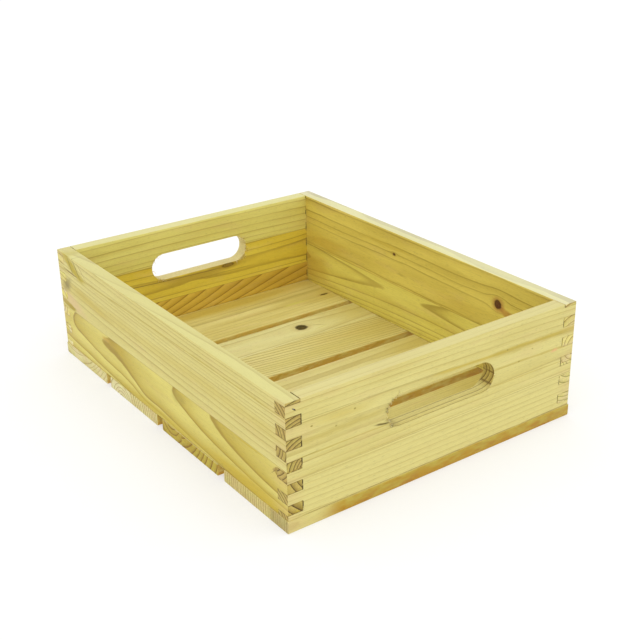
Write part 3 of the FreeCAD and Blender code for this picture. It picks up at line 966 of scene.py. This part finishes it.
def turn(bm, profile, start, axis, across=None, radii=(1.0, 1.0), sides=24):
    """Add a closed turned shape: (share of the radii, mm along the axis) pairs that begin and end at 0."""
    across = across or axis.orthogonal().normalized()
    other = axis.cross(across).normalized()
    before = None
    for share, height in profile:
        centre = start + axis * (height * MM)
        if share == 0:
            ring = [bm.verts.new(centre)] * sides
        else:
            ring = []
            for side in range(sides):
                angle = 2 * math.pi * side / sides
                away = across * (math.cos(angle) * radii[0]) + other * (math.sin(angle) * radii[1])
                ring.append(bm.verts.new(centre + away * (share * MM)))
        for side in range(sides if before else 0):
            after = (side + 1) % sides
            corners = [before[side], before[after], ring[after], ring[side]]
            bm.faces.new(list(dict.fromkeys(corners)))
        before = ring
    bmesh.ops.recalc_face_normals(bm, faces=bm.faces)


def smooth_but_sharp(piece):
    piece.data.shade_smooth()
    piece.data.set_sharp_from_angle(angle=math.radians(18))


def carve(piece, bm, name):
    """Cut closed shapes out of a piece."""
    cutter = place(bm, name)
    cut = piece.modifiers.new("cut", "BOOLEAN")
    cut.operation = "DIFFERENCE"
    cut.solver = "EXACT"
    cut.object = cutter
    settle(piece)
    bpy.data.objects.remove(cutter)
    smooth_but_sharp(piece)


WALLS = {
    "left": dict(axes="YZX", origin=Vector((-HALF_WIDTH, 0, 0)), deep=Vector((1, 0, 0))),
    "right": dict(axes="YZX", origin=Vector((HALF_WIDTH, 0, 0)), deep=Vector((-1, 0, 0))),
    "front": dict(axes="XZY", origin=Vector((0, -HALF_LENGTH, 0)), deep=Vector((0, 1, 0))),
    "back": dict(axes="XZY", origin=Vector((0, HALF_LENGTH, 0)), deep=Vector((0, -1, 0))),
}

# Turned shapes as (share of the radius, mm along the axis). Heads are sunk a little below the wood.
NAIL_SPREAD = 35 * MM
BOARD_SPACING = 120 * MM
RECESS = ((0, -1), (1, -1), (1, 1.35), (0, 1.35))
NAIL_RECESS = (2.75, 2.75)
NAIL_RADII = (2.45, 2.45)
NAIL = ((0, 0.12), (0.65, 0.14), (0.94, 0.28), (1, 0.55), (0.94, 1.0), (0.51, 1.3), (0.51, 36), (0, 40))
BRAD_RECESS = (2.1, 0.85)
BRAD_RADII = (1.15, 0.6)
BRAD = ((0, 0.7), (0.8, 0.72), (1, 0.9), (1, 1.25), (0.6, 1.35), (0.6, 29.5), (0, 32))
BRAD_X = HALF_WIDTH - 10.5 * MM
BRAD_Z = 140.5 * MM
BRADS = {
    "front_board_upper_stave": (
        Vector((-BRAD_X, -HALF_LENGTH, BRAD_Z)), Vector((0, 1, 0)), Vector((0.82, 0, -0.57)),
    ),
    "back_board_upper_stave": (
        Vector((BRAD_X, HALF_LENGTH, BRAD_Z)), Vector((0, -1, 0)), Vector((-0.82, 0, -0.57)),
    ),
}


# Chips in the outer faces beside the notches: end of the board, lowest and highest point, height of
# the tip, reach along the board and depth, all but the end in mm.
CHIPS = {
    "left_side_lower_stave": (
        (-1, 58.5, 70.5, 68.0, 7.6, 0.9),
        (-1, 38.0, 46.0, 44.5, 2.4, 0.6),
        (1, 34.5, 45.0, 42.0, 5.0, 0.8),
        (1, 59.0, 66.0, 60.0, 3.0, 0.6),
    ),
    "left_side_upper_stave": (
        (-1, 86.5, 95.5, 94.0, 3.2, 0.7),
        (-1, 134.0, 139.0, 135.0, 2.6, 0.6),
        (1, 109.0, 120.5, 113.0, 4.5, 0.9),
        (1, 134.0, 145.0, 143.0, 3.0, 0.7),
    ),
    "front_board_lower_stave": (
        (-1, 47.5, 57.5, 50.0, 1.3, 0.7),
        (1, 22.0, 31.0, 28.0, 1.6, 0.7),
    ),
    "front_board_upper_stave": (
        (-1, 73.0, 82.5, 74.0, 2.2, 0.9),
        (-1, 98.0, 107.5, 105.0, 1.3, 0.9),
        (-1, 122.5, 133.0, 132.0, 1.5, 1.0),
        (1, 98.5, 107.0, 104.0, 1.6, 0.9),
        (1, 124.0, 132.0, 127.0, 1.4, 0.7),
    ),
    "right_side_lower_stave": ((-1, 35.0, 44.0, 41.0, 3.4, 0.7), (1, 59.0, 68.0, 62.0, 4.2, 0.8)),
    "right_side_upper_stave": ((-1, 110.0, 119.0, 117.0, 3.0, 0.6), (1, 84.0, 93.0, 86.0, 4.0, 0.8)),
    "back_board_upper_stave": ((-1, 123.0, 131.0, 126.0, 1.6, 0.8), (1, 122.0, 132.0, 130.0, 1.8, 0.9)),
}

# Frayed stretches of the hand slots' edges: end of the slot, angles round that end in degrees, how
# many fibres, and whether they are on the board's inner face.
FRAYS = {
    "front_board_upper_stave": ((-1, 95, 235, 44, False), (1, -60, 60, 5, False)),
    "back_board_upper_stave": ((1, 15, 80, 16, True), (-1, 100, 150, 10, True)),
    "back_board_middle_stave": ((1, -88, 8, 40, True), (-1, 175, 265, 18, True)),
}


def make_wall_stave(name):
    wall = WALLS[name.split("_")[0]]
    low, high = (corner.z for corner in node_box(name))
    side_board = wall["axes"][0] == "Y"
    half = HALF_LENGTH if side_board else HALF_WIDTH
    reach = THICKNESS if side_board else THICKNESS + SHOULDER_GAP
    outline = wall_outline(half, low, high, 1 if side_board else 0, reach)
    loops = [outline]
    slot_low, slot_high = SLOT_HEIGHT - SLOT_RADIUS, SLOT_HEIGHT + SLOT_RADIUS
    if not side_board and low < slot_high and high > slot_low:
        loops = slotted(outline, low, high)
    axes = (UNIT[wall["axes"][0]], UNIT["Z"], wall["deep"])
    bm = slab(loops, wall["origin"], axes, THICKNESS)
    glue_lines = [height for height in (low, high) if FLOOR_TOP + TINY < height < RIM - TINY]

    def width_at(middle, direction):
        if any(abs(middle.z - height) < TINY for height in glue_lines):
            return 0.0
        if abs(middle.z - RIM) < TINY:
            return RIM_EASING
        if abs(middle.dot(axes[0])) > half - reach - TINY:
            return FINGER_EASING
        if abs(middle.z - FLOOR_TOP) < TINY:
            return FOOT_EASING
        return BOARD_EASING

    ease_edges(bm, width_at)
    piece = round_off(place(bm, name + "_wood"))
    if name in CHIPS:
        carve(piece, chip_cutter(CHIPS[name], wall, half - reach), name + "_chips")
    if name in BRADS:
        bm = bmesh.new()
        start, axis, across = BRADS[name]
        turn(bm, RECESS, start, axis, across, BRAD_RECESS, 32)
        carve(piece, bm, name + "_recess")
    glue_mm = [height / MM for height in glue_lines]
    shoulder = None if side_board else (half - reach) / MM
    outer = wall["origin"].dot(UNIT[wall["axes"][2]]) / MM
    wood = pine(name, GRAIN[name], wall["axes"], 2 * half, glue_mm, outer, shoulder)
    hand_over(piece, name, wood)
    if name in FRAYS:
        piece.data.materials.append(loose_fibre)
        fray(piece, FRAYS[name], wall)
    return piece


def chip_cutter(chips, wall, notch):
    """Shallow wedges that break the outer face beside the notches at a board's ends."""
    bm = bmesh.new()
    slant = 0.7
    along, outside = UNIT[wall["axes"][0]], -wall["deep"]
    for end, low, high, tip, reach, depth in chips:
        start = wall["origin"] + along * (end * (notch + 0.6 * MM))
        inner = wall["origin"] + along * (end * (notch - reach * MM))
        corners = [
            start + outside * MM + UNIT["Z"] * (low * MM),
            start + outside * MM + UNIT["Z"] * (high * MM),
            inner + outside * (0.4 * MM) + UNIT["Z"] * (tip * MM),
            start - outside * (depth * MM) + UNIT["Z"] * ((low + slant) * MM),
            start - outside * (depth * MM) + UNIT["Z"] * ((high - slant) * MM),
        ]
        bmesh.ops.convex_hull(bm, input=[bm.verts.new(corner) for corner in corners])
    bmesh.ops.recalc_face_normals(bm, faces=bm.faces)
    return bm


STRAND_STEPS = 8
STRAND_SIDES = 3
STRAND_CURL = 0.22
ROOT_DEPTH = 0.2 * MM  # how far below the board's face a fibre starts
ROOT_INSET = 0.1 * MM  # how far outside the slot's wall
FRAY_REACH = 0.8 * MM  # less than the slats' overhang, so that no fibre is the outermost thing


def strand(bm, root, way, curl, length, thickness):
    """Add one loose fibre: a thin closed tube that curls and tapers to a point."""
    before = None
    place_now, heading = root.copy(), way.normalized()
    for step in range(STRAND_STEPS + 1):
        side = heading.cross(curl).normalized()
        up = heading.cross(side)
        radius = thickness / 2 * (1 - step / STRAND_STEPS) ** 0.6
        if step == STRAND_STEPS:
            ring = [bm.verts.new(place_now)] * STRAND_SIDES
        else:
            turns = [2 * math.pi * corner / STRAND_SIDES for corner in range(STRAND_SIDES)]
            ring = [
                bm.verts.new(place_now + (side * math.cos(angle) + up * math.sin(angle)) * radius)
                for angle in turns
            ]
        if before:
            for corner in range(STRAND_SIDES):
                after = (corner + 1) % STRAND_SIDES
                corners = [before[corner], before[after], ring[after], ring[corner]]
                bm.faces.new(list(dict.fromkeys(corners)))
        else:
            bm.faces.new(ring)
        before = ring
        place_now = place_now + heading * (length / STRAND_STEPS)
        heading = (heading + curl * STRAND_CURL).normalized()


def fray(piece, stretches, wall):
    """Join torn fibres to a slotted stave along the edges of its hand slot."""
    draw = random.Random(SEED)
    along, deep = UNIT[wall["axes"][0]], wall["deep"]
    bm = bmesh.new()
    bm.from_mesh(piece.data)
    wood_faces = len(bm.faces)
    for end, first, last, count, inner in stretches:
        centre = along * (end * (SLOT_HALF_LENGTH - SLOT_RADIUS)) + UNIT["Z"] * SLOT_HEIGHT
        off_face = deep if inner else -deep
        face = wall["origin"] + deep * (THICKNESS - ROOT_DEPTH if inner else ROOT_DEPTH)
        for _ in range(count):
            angle = math.radians(draw.uniform(first, last))
            radial = along * math.cos(angle) + UNIT["Z"] * math.sin(angle)
            tangent = UNIT["Z"] * math.cos(angle) - along * math.sin(angle)
            root = face + centre + radial * (SLOT_RADIUS + ROOT_INSET)
            way = radial * draw.uniform(-0.8, 0.8) + tangent * draw.uniform(-1.2, 1.2) + off_face * 0.5
            curl = radial * draw.uniform(-1, 1) + tangent * draw.uniform(-1, 1) + off_face * 0.15
            length = draw.uniform(3.0, 9.0) * MM
            strand(bm, root, way, curl.normalized(), length, draw.uniform(0.35, 0.85) * MM)
    bm.faces.ensure_lookup_table()
    for torn in bm.faces[wood_faces:]:
        torn.material_index = 1
    bmesh.ops.recalc_face_normals(bm, faces=bm.faces[wood_faces:])
    limit = HALF_LENGTH + FRAY_REACH
    for vertex in bm.verts:
        vertex.co.y = min(max(vertex.co.y, -limit), limit)
    bm.to_mesh(piece.data)
    bm.free()


def nail_spots():
    """Where the slat nails' heads are, on the crate's underside."""
    spots = []
    side = HALF_WIDTH - THICKNESS / 2
    for slat in ("slat_1", "slat_2", "slat_3", "slat_4"):
        corners = [node_box(name) for name in GRAIN if name.startswith(slat)]
        middle = (min(low.y for low, high in corners) + max(high.y for low, high in corners)) / 2
        spots += [Vector((x, middle + y, 0)) for x in (-side, side) for y in (-NAIL_SPREAD, NAIL_SPREAD)]
    end = HALF_LENGTH - THICKNESS / 2
    spots += [Vector((x, y, 0)) for y in (-end, end) for x in (-BOARD_SPACING, 0, BOARD_SPACING)]
    return spots


def slotted(outline, low, high):
    """A slotted board's outline as loops without holes, cut where the slot meets the stave's edge."""
    if high < SLOT_HEIGHT + SLOT_RADIUS:
        cut = high
    elif low > SLOT_HEIGHT - SLOT_RADIUS:
        cut = low
    else:
        cut = SLOT_HEIGHT
    above, below = split_at(outline, cut)
    reach = end_inset(outline, cut)
    loops = []
    if high > cut + TINY:
        loops.append(notched_loop(above, reach, cut, slot_arc(cut, True), upper=True))
    if low < cut - TINY:
        loops.append(notched_loop(below, reach, cut, slot_arc(cut, False), upper=False))
    return loops


def end_inset(outline, height):
    """How far along the outline's right end lies at a height."""
    half = len(outline) // 2
    for first, second in zip(outline[:half], outline[1:half]):
        if first[1] - TINY <= height <= second[1] + TINY and abs(first[0] - second[0]) < TINY:
            return first[0]
    return outline[0][0]


def notched_loop(points, reach, height, arc, upper):
    """Close one half of a slotted outline along the cut, going round the slot's half."""
    right = [point for point in points if point[0] > 0]
    left = [point for point in points if point[0] < 0]
    if upper:
        return [(reach, height)] + right + left + [(-reach, height)] + list(reversed(arc))
    return right + [(reach, height)] + arc + [(-reach, height)] + left


def make_slat_stave(name):
    low, high = node_box(name)
    outline = [(low.x, low.y), (high.x, low.y), (high.x, high.y), (low.x, high.y)]
    bm = slab([outline], Vector((0, 0, low.z)), tuple(UNIT.values()), high.z - low.z)
    front_free = not name.endswith("back_stave")
    back_free = not name.endswith("front_stave")

    def width_at(middle, direction):
        if abs(middle.y - low.y) < TINY and not front_free:
            return 0.0
        if abs(middle.y - high.y) < TINY and not back_free:
            return 0.0
        runs_along = abs(direction.x) > 0.9
        return SLAT_EASING if runs_along else SLAT_END_EASING

    ease_edges(bm, width_at)
    piece = round_off(place(bm, name + "_wood"))
    bm = bmesh.new()
    for spot in NAILS:
        if low.y < spot.y < high.y:
            turn(bm, RECESS, spot, UNIT["Z"], radii=NAIL_RECESS)
    if bm.verts:
        carve(piece, bm, name + "_recesses")
    glue_mm = [edge / MM for edge, free in ((low.y, front_free), (high.y, back_free)) if not free]
    hand_over(piece, name, pine(name, GRAIN[name], "XYZ", high.x - low.x, glue_mm))
    return piece


def hand_over(piece, node, material):
    """Give a piece its material, attach it to the body and hide the CAD node it stands for."""
    piece.data.materials.clear()
    piece.data.materials.append(material)
    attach(piece, BODY)
    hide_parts(node)


NAILS = nail_spots()
loose_fibre = cloudy_material(
    "loose_fibre", blotch=3.0, detail=2.0, span=(0.35, 0.65),
    colours=((0.88, 0.79, 0.44), (0.52, 0.38, 0.10)), smoothest=0.5, metallic=0.0,
)
nail_steel = cloudy_material(
    "nail_steel", blotch=1.0, detail=3.0, span=(0.4, 0.7),
    colours=((0.42, 0.41, 0.39), (0.22, 0.20, 0.18)), smoothest=0.3, metallic=1.0,
)

for stave in GRAIN:
    if stave.startswith("slat"):
        make_slat_stave(stave)
    else:
        make_wall_stave(stave)

nails = bmesh.new()
for spot in NAILS:
    turn(nails, NAIL, spot, UNIT["Z"], radii=NAIL_RADII)
brads = bmesh.new()
for start, axis, across in BRADS.values():
    turn(brads, BRAD, start, axis, across, BRAD_RADII)
for node, bm in (("slat_nails", nails), ("corner_brads", brads)):
    pins = place(bm, node + "_steel")
    smooth_but_sharp(pins)
    hand_over(pins, node, nail_steel)

# ----------------------------------------
# Floor, light and camera


STUDIO_HALF_SIZE = 9.0
STUDIO_GREY = (0.55, 0.55, 0.55, 1.0)
STUDIO_GLOW = 0.45
WHITE = (1.0, 1.0, 1.0, 1.0)
SKY_STRENGTH = 0.97
SUN_STRENGTH = 0.5
SUN_SPREAD = math.radians(70)
SUN_WAY = Vector((0.25, 0.55, -1.0))

CAMERA_AZIMUTH = math.radians(35.485)
CAMERA_ELEVATION = math.radians(24.317)
CAMERA_ROLL = math.radians(-0.934)
CAMERA_DISTANCE = 1.45
CAMERA_TARGET = Vector((0.0566, 0.0359, 0.0573))
LENS_LENGTH = 61.65
LENS_SHIFT = 0.00078


def make_floor():
    bm = bmesh.new()
    bmesh.ops.create_grid(bm, x_segments=4, y_segments=4, size=STUDIO_HALF_SIZE)
    floor = place(bm, "studio_floor")
    floor.location.z = cad_bounds[0][2] - 0.1 * MM
    material, _, surface = new_material("studio_floor")
    surface.inputs["Base Color"].default_value = STUDIO_GREY
    surface.inputs["Roughness"].default_value = 0.9
    surface.inputs["Specular IOR Level"].default_value = 0.0
    surface.inputs["Emission Color"].default_value = WHITE
    surface.inputs["Emission Strength"].default_value = STUDIO_GLOW
    floor.data.materials.append(material)


def make_lights():
    world = bpy.data.worlds.new("studio")
    bpy.context.scene.world = world
    world.use_nodes = True
    background = world.node_tree.nodes["Background"]
    background.inputs["Color"].default_value = WHITE
    background.inputs["Strength"].default_value = SKY_STRENGTH
    light = bpy.data.lights.new("softbox", "SUN")
    light.energy = SUN_STRENGTH
    light.angle = SUN_SPREAD
    lamp = bpy.data.objects.new("softbox", light)
    lamp.rotation_euler = SUN_WAY.to_track_quat("-Z", "Y").to_euler()
    bpy.context.scene.collection.objects.link(lamp)


def make_camera():
    forward = Vector((
        math.sin(CAMERA_AZIMUTH) * math.cos(CAMERA_ELEVATION),
        math.cos(CAMERA_AZIMUTH) * math.cos(CAMERA_ELEVATION),
        -math.sin(CAMERA_ELEVATION),
    ))
    lens = bpy.data.cameras.new("camera")
    lens.lens = LENS_LENGTH
    lens.shift_x = -LENS_SHIFT
    lens.shift_y = LENS_SHIFT
    lens.sensor_width = 36.0
    camera = bpy.data.objects.new("camera", lens)
    camera.location = CAMERA_TARGET - forward * CAMERA_DISTANCE
    camera.rotation_mode = "QUATERNION"
    camera.rotation_quaternion = forward.to_track_quat("-Z", "Y") @ Quaternion((0, 0, 1), CAMERA_ROLL)
    bpy.context.scene.collection.objects.link(camera)
    bpy.context.scene.camera = camera


make_floor()
make_lights()
make_camera()
bpy.context.scene.view_settings.view_transform = "Standard"
